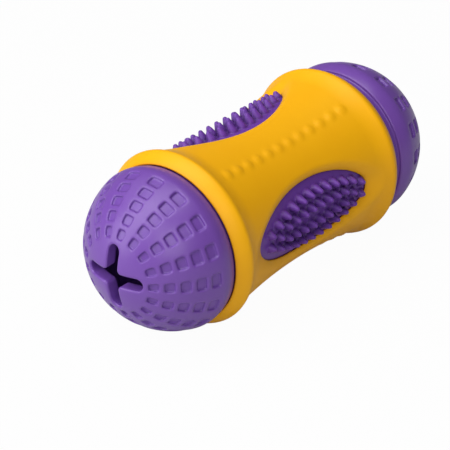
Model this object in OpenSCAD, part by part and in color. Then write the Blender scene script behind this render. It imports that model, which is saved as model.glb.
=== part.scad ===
// Treat dispensing dog toy: a waisted rubber sleeve with three windows, a tube inside it that holds
// the treats, three spiked pads clamped between the two, and a hollow ball plugged into each end.
// The long axis lies along X, Z is up, and the origin is midway between the balls. Sizes are in mm.

/* [Treat tube] */
// Bore of the tube that holds the treats
chamber_d = 36; // [33:0.5:38]
// Wall of the tube
tube_wall = 3; // [2:0.5:4]

/* [Spiked pads] */
// Thickness of a pad at its middle
pad_t = 4.8; // [4:0.2:5.4]
// Angle between neighbouring pads around the tube
pad_gap = 4; // [2:0.5:12]
// Spikes in each of the two outer rows
spike_count = 12; // [6:2:12]
// Spikes fewer in each of the two inner rows, which meet in one more spike at each end
spike_fewer = 4; // [2:2:6]
// Distance from spike to spike along a row
spike_pitch = 4.6; // [4.2:0.1:4.7]
// Width of a spike at its foot
spike_d = 4.2; // [2.6:0.1:4.2]
// Width of a spike at its tip
spike_tip_d = 1.6; // [1:0.1:2.2]
// Height of the spikes' tips above the pad's middle
spike_h = 3.9; // [2.8:0.1:5]
// Distance of an outer row from the pad's middle line
outer_row = 8.4; // [7.8:0.1:9.2]
// Distance of an inner row from the pad's middle line
inner_row = 3.2; // [3.1:0.1:3.8]
// Radius of the arc along which a row runs
row_arc_r = 57; // [54:1:90]

/* [Sleeve] */
// Length of the sleeve
sleeve_l = 91.4; // [89:0.2:96]
// Distance of the sleeve's middle from the toy's middle, towards the front ball
sleeve_shift = 1.6; // [0:0.1:2]
// Wall of the sleeve around the pads' middle
sleeve_wall = 2.2; // [1.8:0.1:3]
// Depth of the step from a socket down to the pads' ends
shoulder_step = 0.5; // [0.3:0.1:1.2]
// Wall of the sleeve around the inner end of the front ball's neck
mouth_wall = 2; // [1.5:0.1:3]
// Height of an end bead above the line of the waist
bead_rise = 1.3; // [0.8:0.1:2]
// Rounding of the crest of an end bead
bead_round = 2.9; // [2.4:0.1:3.4]
// Distance of the bead's crest behind the sleeve's lip
bead_back = 5.4; // [4.6:0.1:6.4]
// Thickness of the sleeve's lip
lip_t = 0.4; // [0.3:0.1:1]

/* [Windows] */
// Number of windows, pads and rows of nubs around the sleeve
window_count = 3; // [3:1:3]
// Length of a window on the sleeve's skin
window_l = 66.6; // [65:0.2:69]
// Width of a window on the sleeve's skin
window_w = 28.4; // [27:0.2:32]
// Height above the waist of the axis of the barrel that cuts a window: more makes the walls lean more
window_lift = 8.7; // [7:0.1:11]
// Radius of the spheres that round off the barrel's ends
window_end_r = 10; // [8:0.5:13]

/* [Nubs] */
// Nubs in a row between two windows
nub_count = 12; // [6:1:12]
// Distance from nub to nub
nub_pitch = 5.85; // [4.8:0.05:6]
// Distance of a row's middle from the sleeve's middle, towards the front ball
nub_shift = 0.4; // [0:0.1:1]
// Width of a nub at its foot
nub_d = 4.2; // [3:0.1:4.5]
// Height of a nub above the sleeve
nub_rise = 0.4; // [0.3:0.1:0.8]

/* [Balls] */
// Diameter of a ball
ball_d = 62; // [60:0.5:65]
// Wall of a ball
ball_wall = 5; // [4.5:0.25:6]
// Distance of the dome's back face outside the ball's widest circle
dome_cut = 0.7; // [0.3:0.1:1.5]
// Width of the dome's flat back face, beyond which its edge slopes at 45 degrees
dome_land = 0.4; // [0.2:0.1:0.8]
// Depth of the step from the dome down to the neck
neck_step = 2; // [1.5:0.1:2.5]
// Length of the neck
neck_l = 7.6; // [6.5:0.1:9]
// Wall of a ball's back
back_wall = 4; // [3:0.25:5]
// Room between a ball and the pieces it sits in
seat_gap = 0.3; // [0.2:0.05:0.5]

/* [Spigots] */
// Length of the spigot that plugs a ball into the tube
spigot_l = 12; // [8:0.5:16]
// Wall of the spigot
spigot_wall = 3; // [2:0.25:4]

/* [Mouths] */
// Length of the cross-shaped mouth from tip to tip
mouth_l = 24; // [18:0.5:25]
// Width of the mouth's arms
mouth_w = 4.8; // [4.4:0.1:6]

/* [Dimples] */
// Dimples around a ball
dimple_columns = 17; // [10:1:18]
// Rings of dimples on a ball
dimple_rings = 5; // [2:1:5]
// Angle of the innermost ring from the ball's pole
dimple_first = 30.5; // [28:0.5:33]
// Angle from ring to ring
dimple_step = 10.3; // [9:0.1:11.2]
// Length of a dimple towards the pole
dimple_l = 3.6; // [2:0.1:4]
// Width of a dimple, as a share of the way to the next one in its ring
dimple_share = 0.48; // [0.35:0.01:0.6]
// Depth of a dimple
dimple_deep = 0.9; // [0.4:0.1:1.4]

/* [Hidden] */
$fn = 96;
YELLOW = "#f2b013";
PURPLE = "#6a45a3";

// More than any length here, for cuts that run right through
far = 400;
// Depth by which joined shapes run into each other
sink = 0.6;
// Depth of a spike's foot below the pad's surface
spike_sink = 1.4;
// Amount by which the end spheres of a window's barrel stand out, so that they cross its side cleanly
cross = 0.05;

// Rounds about the axis, from the inside outwards
chamber_r = chamber_d / 2;
tube_r = chamber_r + tube_wall;
pad_r = tube_r + pad_t;
waist_r = pad_r + sleeve_wall;
ball_r = ball_d / 2;
neck_r = ball_r - neck_step;
socket_r = neck_r + seat_gap;
lip_r = socket_r + lip_t;

// Places along the axis, from the middle outwards: the sleeve's front lip carries the front dome
half_l = sleeve_l / 2;
dome_x = half_l + sleeve_shift + seat_gap;
ball_x = dome_x - dome_cut;
back_x = dome_x - neck_l;
shoulder_x = back_x - seat_gap;

// Outer profile of the sleeve: the waist's hollow arc, the bead's round crest and a slope to the lip
thin_x = shoulder_x - sleeve_shift;
hollow_rise = socket_r + mouth_wall - waist_r;
hollow_r = (pow(thin_x, 2) + pow(hollow_rise, 2)) / (2 * hollow_rise);
hollow_centre_r = waist_r + hollow_r;
crest_x = half_l - bead_back;
crest_r = waist_at(crest_x) + bead_rise;
bead_centre_r = crest_r - bead_round;
slope_reach = norm([bead_back, lip_r - bead_centre_r]);
slope_angle = atan2(lip_r - bead_centre_r, bead_back) + acos(bead_round / slope_reach);
slope_x = crest_x + bead_round * cos(slope_angle);
slope_r = bead_centre_r + bead_round * sin(slope_angle);

// Face between the pads and the sleeve: an arc that widens from the pads' middle to their ends
bore_rise = socket_r - shoulder_step - pad_r;
bore_arc_r = (pow(shoulder_x, 2) + pow(bore_rise, 2)) / (2 * bore_rise);
bore_centre_r = pad_r + bore_arc_r;

// Barrel that cuts a window: an arc turned about an axis above the waist, and a sphere at each end
barrel_z = waist_r + window_lift;
barrel_r = norm([window_w / 2, barrel_z - sqrt(pow(waist_r, 2) - pow(window_w / 2, 2))]);
barrel_reach = barrel_z - waist_at(window_l / 2);
barrel_end_x = window_l / 2 - sqrt(pow(window_end_r, 2) - pow(barrel_reach, 2));
barrel_arc_r = (pow(barrel_end_x, 2) / (barrel_r - window_end_r) + barrel_r + window_end_r) / 2;
barrel_half_l = barrel_end_x * barrel_arc_r / (barrel_arc_r - window_end_r);
// Windows face these ways around X: to the side, down behind and up behind
window_turns = [for (i = [0 : window_count - 1]) 90 + i * 360 / window_count];
nub_turns = [for (turn = window_turns) turn + 180];
nub_ball_r = (nub_d * nub_d / 4 + nub_rise * nub_rise) / (2 * nub_rise);

// Radius of the sleeve's hollow waist at a distance from the sleeve's middle
function waist_at(x) = hollow_centre_r - sqrt(pow(hollow_r, 2) - x * x);
// Radius of the pads, which fill the sleeve's bore, at a distance from the toy's middle
function bore_at(x) = bore_centre_r - sqrt(pow(bore_arc_r, 2) - x * x);

// Lay a shape that was turned about Z along X
module along_x() {
    rotate([0, 90, 0]) children();
}

// Turn a shape that looks up along Z around the toy's axis
module facing(turn) {
    rotate([turn, 0, 0]) children();
}

// Swing a profile about the toy's axis, evenly to both sides of the way up
module swing(angle) {
    along_x() rotate(180 - angle / 2) rotate_extrude(angle = angle) children();
}

// Round bar on the toy's axis
module bar(r, length) {
    along_x() cylinder(r = r, h = length, center = true);
}

// Barrel that cuts a window whose middle looks up along Z
module window_barrel() {
    translate([0, 0, barrel_z]) {
        along_x()
            rotate_extrude()
                intersection() {
                    translate([barrel_r - barrel_arc_r, 0]) circle(barrel_arc_r, $fn = 360);
                    translate([0, -barrel_half_l]) square([barrel_r, 2 * barrel_half_l]);
                }
        for (side = [-1, 1])
            translate([side * barrel_end_x, 0, 0]) sphere(window_end_r + cross);
    }
}

// Solid profile of a bead, out to the lip
module bead_profile() {
    polygon([[0, crest_x], [bead_centre_r, crest_x], [slope_r, slope_x], [lip_r, half_l], [0, half_l]]);
    translate([bead_centre_r, crest_x]) circle(bead_round);
}

// The sleeve before anything is cut out of it
module sleeve_blank() {
    along_x()
        rotate_extrude() {
            difference() {
                translate([0, -crest_x]) square([crest_r, 2 * crest_x]);
                translate([hollow_centre_r, 0]) circle(hollow_r, $fn = 360);
            }
            bead_profile();
            mirror([0, 1]) bead_profile();
        }
}

// Profile of the space in the sleeve outside a radius, narrowest at the toy's middle
module bore_profile(inner_r, half_length) {
    difference() {
        translate([inner_r, -half_length]) square([socket_r - inner_r, 2 * half_length]);
        translate([bore_centre_r, 0]) circle(bore_arc_r, $fn = 360);
    }
}

// Row of raised round nubs along the sleeve, each the cap of a ball
module nub_row() {
    for (i = [0 : nub_count - 1]) {
        x = (i - (nub_count - 1) / 2) * nub_pitch - nub_shift;
        translate([x, 0, waist_at(x) + nub_rise - nub_ball_r]) sphere(nub_ball_r);
    }
}

module outer_sleeve() {
    color(YELLOW)
        difference() {
            translate([-sleeve_shift, 0, 0])
                difference() {
                    union() {
                        sleeve_blank();
                        for (turn = nub_turns)
                            facing(turn) nub_row();
                    }
                    for (turn = window_turns)
                        facing(turn) window_barrel();
                }
            along_x() rotate_extrude() bore_profile(0, shoulder_x + sink);
            for (side = [-1, 1])
                translate([side * (shoulder_x + far / 2), 0, 0]) bar(socket_r, far);
        }
}

module treat_tube() {
    color(PURPLE)
        difference() {
            bar(tube_r, 2 * shoulder_x);
            bar(chamber_r, far);
        }
}

// One spike, standing in the pad and ending on the round that all tips share
module spike(x, y) {
    foot_z = sqrt(pow(bore_at(x), 2) - y * y) - spike_sink;
    tip_z = sqrt(pow(pad_r + spike_h, 2) - y * y);
    translate([x, y, foot_z]) cylinder(d1 = spike_d, d2 = spike_tip_d, h = tip_z - foot_z);
}

// Row of spikes that closes in on the pad's middle line towards both ends
module spike_row(count, row) {
    for (i = [0 : count - 1]) {
        x = (i - (count - 1) / 2) * spike_pitch;
        closing = row_arc_r - sqrt(row_arc_r * row_arc_r - x * x);
        spike(x, row * (1 - closing / outer_row));
    }
}

module spike_pad() {
    inner_count = spike_count - spike_fewer;
    color(PURPLE) {
        swing(360 / window_count - pad_gap) bore_profile(tube_r, shoulder_x);
        for (side = [-1, 1]) {
            spike_row(spike_count, side * outer_row);
            spike_row(inner_count, side * inner_row);
            spike(side * (inner_count + 1) / 2 * spike_pitch, 0);
        }
    }
}

module spike_pad_side() {
    facing(window_turns[0]) spike_pad();
}

module spike_pad_upper() {
    facing(window_turns[2]) spike_pad();
}

module spike_pad_lower() {
    facing(window_turns[1]) spike_pad();
}

// Outline of the mouth: a cross of two slots with round ends
module mouth_outline() {
    reach = mouth_l / 2 - mouth_w / 2;
    for (turn = [0, 90])
        rotate(turn) {
            square([2 * reach, mouth_w], center = true);
            for (side = [-1, 1])
                translate([side * reach, 0]) circle(mouth_w / 2);
        }
}

// All dimples of a ball whose pole looks up along Z
module dimples() {
    reach = dimple_l / ball_r * 90 / PI;
    sweep = dimple_share * 360 / dimple_columns;
    // The first column looks the same way as the side window
    start = -90 - sweep / 2;
    floor_r = ball_r - dimple_deep;
    over_r = ball_r + sink;
    for (ring = [0 : dimple_rings - 1], column = [0 : dimple_columns - 1]) {
        polar = dimple_first + ring * dimple_step;
        near = [sin(polar - reach), cos(polar - reach)];
        away = [sin(polar + reach), cos(polar + reach)];
        rotate(start + column * 360 / dimple_columns)
            rotate_extrude(angle = sweep)
                polygon([floor_r * near, over_r * near, over_r * away, floor_r * away]);
    }
}

// Everything of a sphere that lies above a level
module dome(r, level) {
    intersection() {
        sphere(r);
        translate([0, 0, level + far / 2]) cube(far, center = true);
    }
}

// A ball with its pole up along Z and the middle of its sphere at the origin
module ball() {
    back_z = dome_cut - neck_l;
    edge_r = neck_r + dome_land;
    spigot_r = chamber_r - seat_gap;
    color(PURPLE)
        difference() {
            union() {
                intersection() {
                    dome(ball_r, dome_cut);
                    translate([0, 0, dome_cut]) cylinder(r1 = edge_r, r2 = edge_r + ball_r, h = ball_r);
                }
                translate([0, 0, back_z]) cylinder(r = neck_r, h = neck_l + sink);
                translate([0, 0, back_z - spigot_l]) cylinder(r = spigot_r, h = spigot_l + sink);
            }
            dome(ball_r - ball_wall, back_z + back_wall);
            translate([0, 0, -far / 2]) cylinder(r = spigot_r - spigot_wall, h = far / 2);
            linear_extrude(far) mouth_outline();
            dimples();
        }
}

module front_ball() {
    translate([-ball_x, 0, 0]) rotate([0, -90, 0]) ball();
}

module rear_ball() {
    translate([ball_x, 0, 0]) rotate([0, 90, 0]) ball();
}

outer_sleeve();
treat_tube();
spike_pad_side();
spike_pad_upper();
spike_pad_lower();
front_ball();
rear_ball();
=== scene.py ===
import itertools
import math

import bpy
import numpy as np
from mathutils import Matrix, Vector


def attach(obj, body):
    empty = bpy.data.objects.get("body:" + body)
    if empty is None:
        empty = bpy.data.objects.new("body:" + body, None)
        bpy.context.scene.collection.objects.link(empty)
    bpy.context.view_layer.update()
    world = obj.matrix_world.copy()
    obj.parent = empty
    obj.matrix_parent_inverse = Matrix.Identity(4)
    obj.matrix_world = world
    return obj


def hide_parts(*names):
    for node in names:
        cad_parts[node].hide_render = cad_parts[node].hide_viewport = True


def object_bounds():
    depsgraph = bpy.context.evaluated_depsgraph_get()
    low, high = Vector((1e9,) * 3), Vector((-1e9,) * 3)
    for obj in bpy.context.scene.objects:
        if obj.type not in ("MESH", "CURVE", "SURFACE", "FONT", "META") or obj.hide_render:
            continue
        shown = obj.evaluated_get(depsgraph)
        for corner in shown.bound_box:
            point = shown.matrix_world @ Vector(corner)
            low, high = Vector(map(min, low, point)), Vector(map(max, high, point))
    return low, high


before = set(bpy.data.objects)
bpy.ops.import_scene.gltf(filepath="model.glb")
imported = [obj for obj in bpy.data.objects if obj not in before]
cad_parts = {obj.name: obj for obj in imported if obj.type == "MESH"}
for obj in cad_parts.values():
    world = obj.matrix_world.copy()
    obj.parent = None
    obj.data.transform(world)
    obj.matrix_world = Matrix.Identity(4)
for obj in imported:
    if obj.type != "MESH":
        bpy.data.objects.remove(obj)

CAD_BOUNDS = [list(corner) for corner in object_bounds()]
MM = 0.001

# Sizes of the part's source, lengths in mm
TUBE_R = 21.0
TUBE_WALL = 3.0
PAD_T = 4.8
PAD_GAP = math.radians(4)
SPIKES = 12
SPIKES_FEWER = 4
SPIKE_PITCH = 4.6
SPIKE_H = 3.9
OUTER_ROW = 8.4
INNER_ROW = 3.2
ROW_ARC_R = 57.0
SLEEVE_HALF = 45.7
SLEEVE_SHIFT = 1.6
SLEEVE_WALL = 2.2
MOUTH_WALL = 2.0
BEAD_RISE = 1.3
BEAD_BACK = 5.4
WINDOWS = 3
WINDOW_HALF_L = 33.3
WINDOW_HALF_W = 14.2
WINDOW_LIFT = 8.7
WINDOW_END_R = 10.0
NUBS = 12
NUB_PITCH = 5.85
NUB_SHIFT = 0.4
NUB_D = 4.2
NUB_RISE = 0.4
BALL_R = 31.0
BALL_WALL = 5.0
DOME_CUT = 0.7
NECK_STEP = 2.0
NECK_L = 7.6
BACK_WALL = 4.0
SEAT_GAP = 0.3
SPIGOT_L = 12.0
SPIGOT_WALL = 3.0
MOUTH_HALF_L = 12.0
MOUTH_HALF_W = 2.4
DIMPLE_COLUMNS = 17
DIMPLE_RINGS = 5
DIMPLE_FIRST = math.radians(30.5)
DIMPLE_STEP = math.radians(10.3)
DIMPLE_HALF_L = 1.8
DIMPLE_SHARE = 0.48
DIMPLE_DEEP = 0.9

# Sizes that follow from these
PAD_R = TUBE_R + PAD_T
PAD_SPAN = 2 * math.pi / WINDOWS - PAD_GAP
WAIST_R = PAD_R + SLEEVE_WALL
HOLLOW_RISE = BALL_R - NECK_STEP + SEAT_GAP + MOUTH_WALL - WAIST_R
BEAD_X = SLEEVE_HALF - BEAD_BACK
BALL_X = SLEEVE_HALF + SLEEVE_SHIFT + SEAT_GAP - DOME_CUT
SHOULDER_X = BALL_X + DOME_CUT - NECK_L - SEAT_GAP
SPIGOT_R = TUBE_R - TUBE_WALL - SEAT_GAP
PASSAGE_R = SPIGOT_R - SPIGOT_WALL
MOUTH_REACH = MOUTH_HALF_L - MOUTH_HALF_W

# Sizes that the part's source has otherwise or not at all, chosen after the photo, lengths in mm
PAD_END_R = 28.2
SPIKE_FOOT_R = 1.85
SPIKE_TIP_R = 0.85
SOCKET_R = 28.5
LIP_R = 29.5
FLARE_X = 33.0
BEAD_FALL = 0.2
NECK_R = 28.2
DOME_EDGE_R = 29.5
DOME_LEAN = math.radians(30)

# Soft edges that only the looks have, in mm
WINDOW_SOFT = 2.6
BORE_SOFT = 0.6
CREST_SOFT = 0.8
LIP_SOFT = 0.35
NUB_SOFT = 0.25
FOOT_SOFT = 0.4
PAD_SOFT = 0.5
SHOULDER_SOFT = 2.5
NECK_SOFT = 0.5
MOUTH_CORNER_SOFT = 1.6
MOUTH_SOFT = 0.75
DIMPLE_CORNER = 0.8
DIMPLE_FLOOR_SOFT = 0.35
DIMPLE_EDGE_SOFT = 0.25

# Help for the distance fields, in mm
CREST_REACH = 2.0
SLOPE_STEP = 0.01
SINK = 1.0
FAR_OFF = 39.0

# Grids and meshes: lengths in mm, angles in radians
COARSE = 1.0
ROOM = 2.0
SLEEVE_STEP = 0.57 * COARSE
SLEEVE_TURN = math.radians(1.5) * COARSE
SLEEVE_DEEP = 0.3 * COARSE
LIP_FINER = 1.6
PAD_STEP = 0.5 * COARSE
BALL_STEP = 0.58 * COARSE
BALL_DEEP = 0.4 * COARSE
POLE_GAP = 0.03
MOUTH_POLAR = math.radians(24)
RIM_POLAR = math.radians(92)
ZONE_STEPS = (1.4, 1.0, 2.4)
TURN_STEPS = 1.1
SLAB = 16
SETTLE_PASSES = 2
PROBE_SHARE = 0.1
LEAST_STEEP = 0.25


# Distance fields: negative inside, in mm
def both(first, second, soft):
    """Overlap of two shapes, with its edge rounded."""
    corner = np.hypot(np.maximum(soft + first, 0), np.maximum(soft + second, 0))
    return np.minimum(-soft, np.maximum(first, second)) + corner


def joined(first, second, soft):
    """Two shapes together, with a fillet between them."""
    corner = np.hypot(np.maximum(soft - first, 0), np.maximum(soft - second, 0))
    return np.maximum(soft, np.minimum(first, second)) - corner


def arc_radius(half_chord, rise):
    """Radius of an arc, from half its chord and its rise."""
    return (half_chord ** 2 + rise ** 2) / (2 * rise)


HOLLOW_R = arc_radius(SHOULDER_X - SLEEVE_SHIFT, HOLLOW_RISE)
BORE_R = arc_radius(SHOULDER_X, PAD_END_R - PAD_R)
NUB_R = arc_radius(NUB_D / 2, NUB_RISE)


def in_row(along, pitch, count):
    """Place of the nearest copy in a row of an even number of copies about zero."""
    last = (count - 1) / 2
    return np.clip(np.floor(along / pitch) + 0.5, -last, last) * pitch


def waist_at(along):
    """Radius of the hollow waist at a distance from the sleeve's middle."""
    return WAIST_R + HOLLOW_R - np.sqrt(HOLLOW_R ** 2 - np.minimum(along * along, HOLLOW_R ** 2 / 2))


def bore_skin(x, rho):
    """The face between the sleeve and the pads: negative on the sleeve's side."""
    return np.hypot(x, rho - PAD_R - BORE_R) - BORE_R


def bore_at(x):
    """Radius of that face at a distance from the toy's middle."""
    return PAD_R + BORE_R - np.sqrt(BORE_R ** 2 - x * x)


def sleeve_radius(along):
    """Radius of the sleeve's outer skin: the waist with its flare, and the round slope from crest to lip."""
    rise = BEAD_RISE + CREST_SOFT / 4
    crest = float(waist_at(np.array(BEAD_X))) + rise
    flare = waist_at(along) + rise * (np.maximum(along - FLARE_X, 0) / (BEAD_X - FLARE_X)) ** 2
    bulge = (crest - BEAD_FALL * BEAD_BACK - LIP_R) / BEAD_BACK ** 2
    past = np.maximum(along - BEAD_X, -CREST_REACH)
    slope = crest - BEAD_FALL * past - bulge * past * np.maximum(past, 0)
    near = np.maximum(CREST_SOFT - np.abs(flare - slope), 0) / CREST_SOFT
    slope = np.where(along > BEAD_X - CREST_REACH, slope, flare + CREST_SOFT)
    return np.minimum(flare, slope) - near * near * CREST_SOFT / 4


def sleeve_outside(along, rho):
    """The sleeve's outer skin, at a distance from the sleeve's middle and rho from the axis."""
    rise = sleeve_radius(along + SLOPE_STEP) - sleeve_radius(along - SLOPE_STEP)
    slope = rise / (2 * SLOPE_STEP)
    return (rho - sleeve_radius(along)) / np.sqrt(1 + slope * slope)


def window(along, across, up):
    """The barrel that cuts a window: an arc turned about an axis above the waist, and a ball at each end."""
    axis_z = WAIST_R + WINDOW_LIFT
    barrel_r = math.hypot(WINDOW_HALF_W, axis_z - math.sqrt(WAIST_R ** 2 - WINDOW_HALF_W ** 2))
    end_lift = axis_z - float(waist_at(np.array(WINDOW_HALF_L)))
    end_x = WINDOW_HALF_L - math.sqrt(WINDOW_END_R ** 2 - end_lift ** 2)
    arc_r = (end_x ** 2 / (barrel_r - WINDOW_END_R) + barrel_r + WINDOW_END_R) / 2
    centre_r = arc_r - barrel_r
    along = np.abs(along)
    off = np.hypot(across, up - axis_z)
    at_end = along * centre_r > (off + centre_r) * end_x
    end = np.hypot(along - end_x, off) - WINDOW_END_R
    middle = np.hypot(along, off + centre_r) - arc_r
    return np.where(at_end, end, middle)


def from_window(y, z):
    """Angle from the middle of the nearest window."""
    third = 2 * math.pi / WINDOWS
    return np.mod(np.arctan2(z, y), third) - third / 2


def sleeve(x, y, z):
    """The yellow sleeve, with its windows, nubs, bore and sockets."""
    along = x + SLEEVE_SHIFT
    rho = np.hypot(y, z)
    swing = from_window(y, z)
    nub_x = in_row(along + NUB_SHIFT, NUB_PITCH, NUBS) - NUB_SHIFT
    nub_low = waist_at(nub_x) + NUB_RISE - NUB_R
    off_row = rho * (math.pi / WINDOWS - np.abs(swing))
    nub = np.sqrt((along - nub_x) ** 2 + off_row ** 2 + (rho - nub_low) ** 2) - NUB_R
    body = joined(sleeve_outside(np.abs(along), rho), nub, NUB_SOFT)
    body = both(body, np.abs(along) - SLEEVE_HALF, LIP_SOFT)
    body = both(body, -window(along, rho * np.sin(swing), rho * np.cos(swing)), WINDOW_SOFT)
    body = both(body, bore_skin(x, rho), BORE_SOFT)
    socket = np.maximum(rho - SOCKET_R, SHOULDER_X - np.abs(x))
    return both(body, -socket, LIP_SOFT)


def spike(off, z, foot_z, tip_z):
    """A tapering spike with a round tip: off is the distance from its own axis."""
    length = tip_z - SPIKE_TIP_R - foot_z
    lean = (SPIKE_FOOT_R - SPIKE_TIP_R) / length
    upright = np.sqrt(1 - lean * lean)
    up = z - foot_z
    level = upright * up - lean * off
    side = upright * off + lean * up - SPIKE_FOOT_R
    foot = np.hypot(off, up) - SPIKE_FOOT_R
    tip = np.hypot(off, up - length) - SPIKE_TIP_R
    return np.where(level < 0, foot, np.where(level > upright * length, tip, side))


def spike_at(x, y, z, place, line):
    """A spike at a place along the pad and a distance from its middle line."""
    foot_z = np.sqrt(bore_at(place) ** 2 - line ** 2)
    tip_z = np.sqrt((PAD_R + SPIKE_H) ** 2 - line ** 2)
    return spike(np.hypot(x - place, y - line), z, foot_z, tip_z)


def pad(x, y, z):
    """A pad that looks up along Z: a curved plate with four rows of spikes, and one more at each end."""
    rho = np.hypot(y, z)
    plate = np.maximum(-bore_skin(x, rho), TUBE_R - rho)
    plate = both(plate, np.abs(x) - SHOULDER_X, PAD_SOFT)
    plate = both(plate, rho * (np.abs(np.arctan2(y, z)) - PAD_SPAN / 2), PAD_SOFT)
    inner = SPIKES - SPIKES_FEWER
    spikes = spike_at(x, y, z, np.sign(x) * (inner + 1) / 2 * SPIKE_PITCH, 0)
    for row, count in ((OUTER_ROW, SPIKES), (INNER_ROW, inner)):
        place = in_row(x, SPIKE_PITCH, count)
        closing = ROW_ARC_R - np.sqrt(ROW_ARC_R ** 2 - place ** 2)
        line = row * (1 - closing / OUTER_ROW)
        spikes = np.minimum(spikes, spike_at(x, np.abs(y), z, place, line))
    return joined(plate, np.where(z > 0, spikes, FAR_OFF), FOOT_SOFT)


def mouth(x, y):
    """Outline of the cross-shaped mouth."""
    upright = np.hypot(np.maximum(np.abs(x) - MOUTH_REACH, 0), y) - MOUTH_HALF_W
    level = np.hypot(np.maximum(np.abs(y) - MOUTH_REACH, 0), x) - MOUTH_HALF_W
    return joined(upright, level, MOUTH_CORNER_SOFT)


def dimples(skin, x, y, z):
    """All dimples under a dome whose pole looks up along Z."""
    polar = np.arctan2(np.hypot(x, y), z)
    ring = np.clip(np.round((polar - DIMPLE_FIRST) / DIMPLE_STEP), 0, DIMPLE_RINGS - 1)
    ring_polar = DIMPLE_FIRST + ring * DIMPLE_STEP
    pitch = 2 * math.pi / DIMPLE_COLUMNS
    turn = np.arctan2(y, x) + math.pi / 2
    off_turn = turn - np.round(turn / pitch) * pitch
    ring_r = BALL_R * np.sin(ring_polar)
    half_w = ring_r * pitch * DIMPLE_SHARE / 2
    past_l = np.abs(BALL_R * (polar - ring_polar)) - DIMPLE_HALF_L + DIMPLE_CORNER
    past_w = np.abs(ring_r * off_turn) - half_w + DIMPLE_CORNER
    outside = np.hypot(np.maximum(past_l, 0), np.maximum(past_w, 0))
    plan = outside + np.minimum(np.maximum(past_l, past_w), 0) - DIMPLE_CORNER
    return both(plan, -(skin + DIMPLE_DEEP), DIMPLE_FLOOR_SOFT)


def ball(x, y, z):
    """A hollow ball whose pole looks up along Z, with the middle of its sphere at the origin."""
    rho = np.hypot(x, y)
    far = np.sqrt(rho * rho + z * z)
    skin = far - BALL_R
    back = DOME_CUT - NECK_L
    edge = (rho - DOME_EDGE_R) * math.cos(DOME_LEAN) - (z - DOME_CUT) * math.sin(DOME_LEAN)
    dome = both(skin, edge, SHOULDER_SOFT)
    dome = np.maximum(dome, DOME_CUT - z)
    dome = both(dome, -dimples(skin, x, y, z), DIMPLE_EDGE_SOFT)
    neck = np.maximum(rho - NECK_R, np.maximum(back - z, z - DOME_CUT - SINK))
    body = joined(dome, neck, NECK_SOFT)
    spigot = np.maximum(rho - SPIGOT_R, np.maximum(back - SPIGOT_L - z, z - back - SINK))
    body = np.minimum(body, spigot)
    inside = np.maximum(far - BALL_R + BALL_WALL, back + BACK_WALL - z)
    passage = np.maximum(rho - PASSAGE_R, z - DOME_CUT)
    body = np.maximum(body, -np.minimum(inside, passage))
    return both(body, -np.maximum(mouth(x, y), -z), MOUTH_SOFT)


# Meshes
CORNERS = np.array(list(itertools.product((0, 1), repeat=3)))
EDGES = [(i, j) for i, j in itertools.combinations(range(len(CORNERS)), 2)
         if np.abs(CORNERS[i] - CORNERS[j]).sum() == 1]


def straight(x, y, z):
    """Place in a plain grid."""
    return x, y, z


def around_x(x, turn, rho):
    """Place in a grid that runs round the X axis."""
    return x, rho * np.sin(turn), rho * np.cos(turn)


def around_pole(polar, turn, far):
    """Place in a grid that runs round a pole along Z."""
    return far * np.sin(polar) * np.cos(turn), far * np.sin(polar) * np.sin(turn), far * np.cos(polar)


def steps(stops, sizes):
    """Places along one way of a grid: from stop to stop in even steps of about the given sizes."""
    runs = []
    for start, stop, size in zip(stops, stops[1:], sizes):
        count = math.ceil((stop - start) / size)
        runs.append(np.linspace(start, stop, count + 1)[:-1])
    return np.concatenate(runs + [[stops[-1]]]).astype(np.float32)


def field_on(field, grid, to_place):
    """Values of a field on a grid, worked out slab by slab to save memory."""
    slabs = np.array_split(grid[0], max(1, len(grid[0]) // SLAB))
    second = grid[1][None, :, None]
    third = grid[2][None, None, :]
    places = (to_place(slab[:, None, None], second, third) for slab in slabs)
    return np.concatenate([field(*np.broadcast_arrays(*place)) for place in places])


def crossings(values, cells):
    """Mean of the spots, in grid steps, where the edges of each cell cross the skin."""
    at = np.stack([values[tuple((cells + corner).T)] for corner in CORNERS], -1)
    total = np.zeros((len(cells), 3), np.float32)
    hits = np.zeros(len(cells), np.float32)
    for i, j in EDGES:
        hit = (at[:, i] < 0) != (at[:, j] < 0)
        share = np.where(hit, at[:, i] / np.where(hit, at[:, i] - at[:, j], 1), 0)[:, None]
        spot = CORNERS[i] + share * (CORNERS[j] - CORNERS[i])
        total += np.where(hit[:, None], spot, 0)
        hits += hit
    return cells + total / hits[:, None]


def skin_quads(inside, number, ring):
    """A quad round every grid edge that crosses the skin, turned to the outside."""
    cells = number.shape
    quads = []
    for axis in range(3):
        side, up = (axis + 1) % 3, (axis + 2) % 3
        last = cells[axis] - 1 if ring and axis == 1 else cells[axis]
        first = inside.take(range(last), axis)
        second = inside.take(range(1, last + 1), axis)
        edges = np.argwhere(first != second)
        for way in (side, up):
            edges = edges[(edges[:, way] > 0) & (edges[:, way] < cells[way])]
        corners = []
        for side_step, up_step in ((-1, -1), (0, -1), (0, 0), (-1, 0)):
            cell = edges.copy()
            cell[:, side] += side_step
            cell[:, up] += up_step
            corners.append(number[tuple(cell.T)])
        corners = np.stack(corners, -1)
        leaving = first[tuple(edges.T)]
        quads.append(np.where(leaving[:, None], corners, corners[:, ::-1]))
    return np.concatenate(quads)


def settle(field, points, step):
    """Move points that lie close to a field's skin onto it."""
    probe = PROBE_SHARE * step
    ways = np.eye(3, dtype=np.float32) * probe
    for _ in range(SETTLE_PASSES):
        value = field(*points.T)
        rises = [field(*(points + way).T) - field(*(points - way).T) for way in ways]
        slope = np.stack(rises, -1) / (2 * probe)
        steep = np.maximum((slope ** 2).sum(-1), LEAST_STEEP)
        move = slope * (value / steep)[:, None]
        points = points - np.clip(move, -step / 2, step / 2)
    return points


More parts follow.
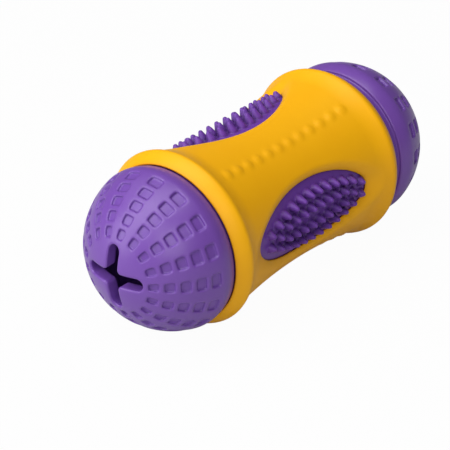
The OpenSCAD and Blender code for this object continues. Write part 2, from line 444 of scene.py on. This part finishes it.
def skin_mesh(field, grid, to_place, step, ring=False):
    """Points and quads of a field's skin on a grid, whose second way may run round as a ring."""
    if ring:
        grid = [grid[0], np.append(grid[1], grid[1][-1] + grid[1][1] - grid[1][0]), grid[2]]
    values = field_on(field, grid, to_place)
    inside = values < 0
    rows, columns, layers = (len(places) - 1 for places in grid)
    filled = sum(inside[i:rows + i, j:columns + j, k:layers + k].astype(np.uint8) for i, j, k in CORNERS)
    crossed = (filled > 0) & (filled < len(CORNERS))
    if ring:
        crossed[:, -1] = False
    cut_cells = np.argwhere(crossed)
    number = np.full(crossed.shape, -1, np.int64)
    number[crossed] = np.arange(len(cut_cells))
    if ring:
        number[:, -1] = number[:, 0]
    spots = crossings(values, cut_cells)
    ways = [np.interp(spots[:, way], np.arange(len(places)), places) for way, places in enumerate(grid)]
    points = np.stack(to_place(*ways), -1).astype(np.float32)
    return settle(field, points, step), skin_quads(inside, number, ring)


def sleeve_skin():
    """The sleeve, in a grid round the long axis with finer steps at both lips."""
    reach = SLEEVE_HALF + ROOM
    lip = BEAD_X - ROOM
    lip_step = SLEEVE_STEP / LIP_FINER
    top = WAIST_R + HOLLOW_RISE + BEAD_RISE + ROOM
    grid = [steps((-reach, -lip, lip, reach), (lip_step, SLEEVE_STEP, lip_step)) - SLEEVE_SHIFT,
            steps((0, 2 * math.pi), (SLEEVE_TURN,)),
            steps((PAD_R - ROOM, top), (SLEEVE_DEEP,))]
    return skin_mesh(sleeve, grid, around_x, SLEEVE_STEP, ring=True)


def pad_skin():
    """A pad, in a plain grid."""
    end = SHOULDER_X + ROOM
    side = SOCKET_R * math.sin(PAD_SPAN / 2) + ROOM
    low = TUBE_R * math.cos(PAD_SPAN / 2) - ROOM
    high = PAD_R + SPIKE_H + ROOM
    grid = [steps(span, (PAD_STEP,)) for span in ((-end, end), (-side, side), (low, high))]
    return skin_mesh(pad, grid, straight, PAD_STEP)


def ball_skin():
    """A ball, in a grid round its pole with finer steps where the dimples are."""
    low = NECK_L - DOME_CUT + SPIGOT_L
    back_polar = math.pi - math.atan2(PASSAGE_R - ROOM, low)
    polar_steps = [size * BALL_STEP / BALL_R for size in ZONE_STEPS]
    grid = [steps((POLE_GAP, MOUTH_POLAR, RIM_POLAR, back_polar), polar_steps),
            steps((0, 2 * math.pi), (TURN_STEPS * BALL_STEP / BALL_R,)),
            steps((PASSAGE_R - ROOM, BALL_R + ROOM), (BALL_DEEP,))]
    return skin_mesh(ball, grid, around_pole, BALL_STEP, ring=True)


# Materials
MOTTLE_SCALE, MOTTLE_DETAIL = 90, 3
SHEEN_SCALE, SHEEN_DETAIL = 220, 2
SHEEN_SPREAD = 0.05
GRAIN_SCALE, GRAIN_DETAIL = 2600, 2
GRAIN_STRENGTH = 0.12
GRAIN_DEEP = 0.1 * MM
# Painted shade: an ambient occlusion node darkens the colour towards a shade colour in crevices and gaps,
# where shade falls
PAINTED_SHADE_REACH = 4 * MM
PAINTED_SHADE_SAMPLES = 8
PAINTED_SHADE_FULL = 0.25
PAINTED_SHADE_NONE = 0.9


def rubber(name, base, deep, painted_shade, rough, gloss):
    """Moulded rubber: a slightly mottled colour, painted shade in crevices, an uneven sheen and a fine
    grain.
    """
    made = bpy.data.materials.new(name)
    made.use_nodes = True
    tree = made.node_tree
    shader = tree.nodes["Principled BSDF"]
    place = tree.nodes.new("ShaderNodeTexCoord")

    def noise(scale, detail):
        made_noise = tree.nodes.new("ShaderNodeTexNoise")
        made_noise.inputs["Scale"].default_value = scale
        made_noise.inputs["Detail"].default_value = detail
        tree.links.new(place.outputs["Object"], made_noise.inputs["Vector"])
        return made_noise.outputs["Fac"]

    mottle = tree.nodes.new("ShaderNodeMix")
    mottle.data_type = "RGBA"
    mottle.inputs["A"].default_value = (*base, 1)
    mottle.inputs["B"].default_value = (*deep, 1)
    tree.links.new(noise(MOTTLE_SCALE, MOTTLE_DETAIL), mottle.inputs["Factor"])
    shade_probe = tree.nodes.new("ShaderNodeAmbientOcclusion")
    shade_probe.samples = PAINTED_SHADE_SAMPLES
    shade_probe.inputs["Distance"].default_value = PAINTED_SHADE_REACH
    unshaded_share = tree.nodes.new("ShaderNodeMapRange")
    unshaded_share.inputs["From Min"].default_value = PAINTED_SHADE_FULL
    unshaded_share.inputs["From Max"].default_value = PAINTED_SHADE_NONE
    tree.links.new(shade_probe.outputs["AO"], unshaded_share.inputs["Value"])
    # Painted shade: the colour fades to the shade colour where the occlusion node finds the surface closed
    # in
    shaded_colour = tree.nodes.new("ShaderNodeMix")
    shaded_colour.data_type = "RGBA"
    shaded_colour.inputs["A"].default_value = (*painted_shade, 1)
    tree.links.new(mottle.outputs["Result"], shaded_colour.inputs["B"])
    tree.links.new(unshaded_share.outputs["Result"], shaded_colour.inputs["Factor"])
    tree.links.new(shaded_colour.outputs["Result"], shader.inputs["Base Color"])
    sheen = tree.nodes.new("ShaderNodeMapRange")
    sheen.inputs["To Min"].default_value = rough - SHEEN_SPREAD
    sheen.inputs["To Max"].default_value = rough + SHEEN_SPREAD
    tree.links.new(noise(SHEEN_SCALE, SHEEN_DETAIL), sheen.inputs["Value"])
    tree.links.new(sheen.outputs["Result"], shader.inputs["Roughness"])
    grain = tree.nodes.new("ShaderNodeBump")
    grain.inputs["Strength"].default_value = GRAIN_STRENGTH
    grain.inputs["Distance"].default_value = GRAIN_DEEP
    tree.links.new(noise(GRAIN_SCALE, GRAIN_DETAIL), grain.inputs["Height"])
    tree.links.new(grain.outputs["Normal"], shader.inputs["Normal"])
    shader.inputs["Specular IOR Level"].default_value = gloss
    return made


# Each rubber's third colour is painted shade, laid into crevices by the occlusion node: orange-brown on the
# yellow, a deeper purple on the balls and tube
YELLOW = rubber("yellow_rubber", base=(0.97, 0.475, 0.003), deep=(0.93, 0.435, 0.002),
                painted_shade=(0.42, 0.10, 0.001), rough=0.46, gloss=0.25)
PURPLE = rubber("purple_rubber", base=(0.182, 0.072, 0.40), deep=(0.162, 0.063, 0.365),
                painted_shade=(0.12, 0.045, 0.29), rough=0.33, gloss=0.5)
# The pads get a slightly darker copy of the purple, with less gloss: the darker base stands in for the shade
# in the recessed windows, and the near-black third colour is painted shade in the gaps between the spikes
SHADED_PAD_PURPLE = rubber("purple_rubber_painted_shade", base=(0.170, 0.055, 0.39), deep=(0.150, 0.048, 0.35),
                painted_shade=(0.012, 0.003, 0.04), rough=0.33, gloss=0.25)


# Pieces, with the turns of the pads in degrees
def piece(name, skin, seat, material, body, node):
    """A smooth piece that stands for a CAD node."""
    points, quads = skin
    mesh = bpy.data.meshes.new(name)
    mesh.from_pydata(points * MM, [], quads.tolist())
    mesh.transform(seat)
    mesh.shade_smooth()
    mesh.materials.append(material)
    made = bpy.data.objects.new(name, mesh)
    bpy.context.scene.collection.objects.link(made)
    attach(made, body)
    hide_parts(node)


piece("sleeve_rubber", sleeve_skin(), Matrix(), YELLOW, "sleeve", "outer_sleeve")

PAD_TURNS = {"side": 90, "lower": 210, "upper": 330}
skin = pad_skin()
for place, turn in PAD_TURNS.items():
    seat = Matrix.Rotation(math.radians(turn), 4, "X")
    piece("pad_rubber_" + place, skin, seat, SHADED_PAD_PURPLE, "sleeve", "spike_pad_" + place)

skin = ball_skin()
for place, sign in (("front", -1), ("rear", 1)):
    node = place + "_ball"
    seat = Matrix.Translation((sign * BALL_X * MM, 0, 0)) @ Matrix.Rotation(sign * math.pi / 2, 4, "Y")
    piece("ball_rubber_" + place, skin, seat, PURPLE, node, node)

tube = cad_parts["treat_tube"]
tube.data.materials.clear()
tube.data.materials.append(PURPLE)

# Stage
WHITE = (1, 1, 1, 1)
GLOSSY_SHARE = 0.08
FLOOR_SIZE = 8
FLOOR_WHITE = 0.97
FLOOR_ROUGH = 0.9
FLOOR_GLOSS = 0.1
FLOOR_DARK, FLOOR_PALE = 0.60, 0.64
FLOOR_GRAIN_SCALE = 4
WORLD_WHITE = 1.0
WORLD_GREY = (0.066, 0.066, 0.066, 1)


def seen_white(tree, most):
    """Share of plain white that a ray sees: most for the camera and through glass, less in a reflection."""
    path = tree.nodes.new("ShaderNodeLightPath")

    def combined(kind, first, second):
        made = tree.nodes.new("ShaderNodeMath")
        made.operation = kind
        for value, socket in ((first, made.inputs[0]), (second, made.inputs[1])):
            if isinstance(value, float):
                socket.default_value = value
            else:
                tree.links.new(value, socket)
        return made.outputs["Value"]

    plain = combined("MAXIMUM", path.outputs["Is Camera Ray"], path.outputs["Is Transmission Ray"])
    mirrored = combined("MULTIPLY", path.outputs["Is Glossy Ray"], GLOSSY_SHARE)
    return combined("MULTIPLY", combined("MAXIMUM", plain, mirrored), most)


def pale_floor():
    """Plain floor: near white to the camera, a quiet grey to the light."""
    made = bpy.data.materials.new("pale_floor")
    made.use_nodes = True
    tree = made.node_tree
    shader = tree.nodes["Principled BSDF"]
    shader.inputs["Roughness"].default_value = FLOOR_ROUGH
    shader.inputs["Specular IOR Level"].default_value = FLOOR_GLOSS
    grain = tree.nodes.new("ShaderNodeTexNoise")
    grain.inputs["Scale"].default_value = FLOOR_GRAIN_SCALE
    tone = tree.nodes.new("ShaderNodeMapRange")
    tone.inputs["To Min"].default_value = FLOOR_DARK
    tone.inputs["To Max"].default_value = FLOOR_PALE
    tree.links.new(grain.outputs["Fac"], tone.inputs["Value"])
    tree.links.new(tone.outputs["Result"], shader.inputs["Base Color"])
    plain = tree.nodes.new("ShaderNodeEmission")
    plain.inputs["Color"].default_value = WHITE
    mix = tree.nodes.new("ShaderNodeMixShader")
    tree.links.new(seen_white(tree, FLOOR_WHITE), mix.inputs["Fac"])
    tree.links.new(shader.outputs["BSDF"], mix.inputs[1])
    tree.links.new(plain.outputs["Emission"], mix.inputs[2])
    tree.links.new(mix.outputs["Shader"], tree.nodes["Material Output"].inputs["Surface"])
    return made


def studio_world():
    """Surroundings: white to the camera, a dim grey to the light."""
    made = bpy.data.worlds.new("studio")
    made.use_nodes = True
    tree = made.node_tree
    tone = tree.nodes.new("ShaderNodeMix")
    tone.data_type = "RGBA"
    tone.inputs["A"].default_value = WORLD_GREY
    tone.inputs["B"].default_value = WHITE
    tree.links.new(seen_white(tree, WORLD_WHITE), tone.inputs["Factor"])
    tree.links.new(tone.outputs["Result"], tree.nodes["Background"].inputs["Color"])
    return made


bpy.ops.mesh.primitive_plane_add(size=FLOOR_SIZE, location=(0, 0, CAD_BOUNDS[0][2]))
floor = bpy.context.object
floor.name = "floor"
floor.data.materials.append(pale_floor())
bpy.context.scene.world = studio_world()

# Camera of the photo, which looks a little past the toy's middle: angles in degrees, the distance in mm
CAMERA_TURN, CAMERA_HEIGHT = 219.640, 30.141
CAMERA_FAR = 782.24
LOOK_TURN, LOOK_HEIGHT = 220.657, 31.040
LENS = 172.16
SENSOR = 36
TOY_ROLL = 2.0


def facing(turn, height):
    """Unit vector at a turn about Z and a height above the level, both in degrees."""
    turn, height = math.radians(turn), math.radians(height)
    return Vector((math.cos(height) * math.cos(turn), math.cos(height) * math.sin(turn), math.sin(height)))


camera = bpy.data.cameras.new("photo_camera")
camera.lens = LENS
camera.sensor_width = SENSOR
viewer = bpy.data.objects.new("photo_camera", camera)
look = (-facing(LOOK_TURN, LOOK_HEIGHT)).to_track_quat("-Z", "Y").to_matrix().to_4x4()
stand = Matrix.Translation(facing(CAMERA_TURN, CAMERA_HEIGHT) * CAMERA_FAR * MM)
viewer.matrix_world = Matrix.Rotation(math.radians(TOY_ROLL), 4, "X") @ stand @ look
bpy.context.scene.collection.objects.link(viewer)
bpy.context.scene.camera = viewer
bpy.context.scene.view_settings.view_transform = "Standard"

# Lamps: degrees to the right of the camera, degrees above the level, and watts, with lengths in metres
LAMP_FAR = 1.4
LAMP_SIZE = 0.9
LAMPS = {
    "top": (0, 88, 6.2),
    "left_high": (-60, 55, 9.0),
    "left_low": (-70, 20, 7.6),
    "left_back": (-120, 55, 2.0),
    "front": (0, 30, 6.6),
}

for name, (turn, height, power) in LAMPS.items():
    light = bpy.data.lights.new(name, "AREA")
    light.size = LAMP_SIZE
    light.energy = power
    lamp = bpy.data.objects.new(name, light)
    lamp.location = facing(CAMERA_TURN + turn, height) * LAMP_FAR
    lamp.rotation_euler = (-lamp.location).to_track_quat("-Z", "Y").to_euler()
    bpy.context.scene.collection.objects.link(lamp)
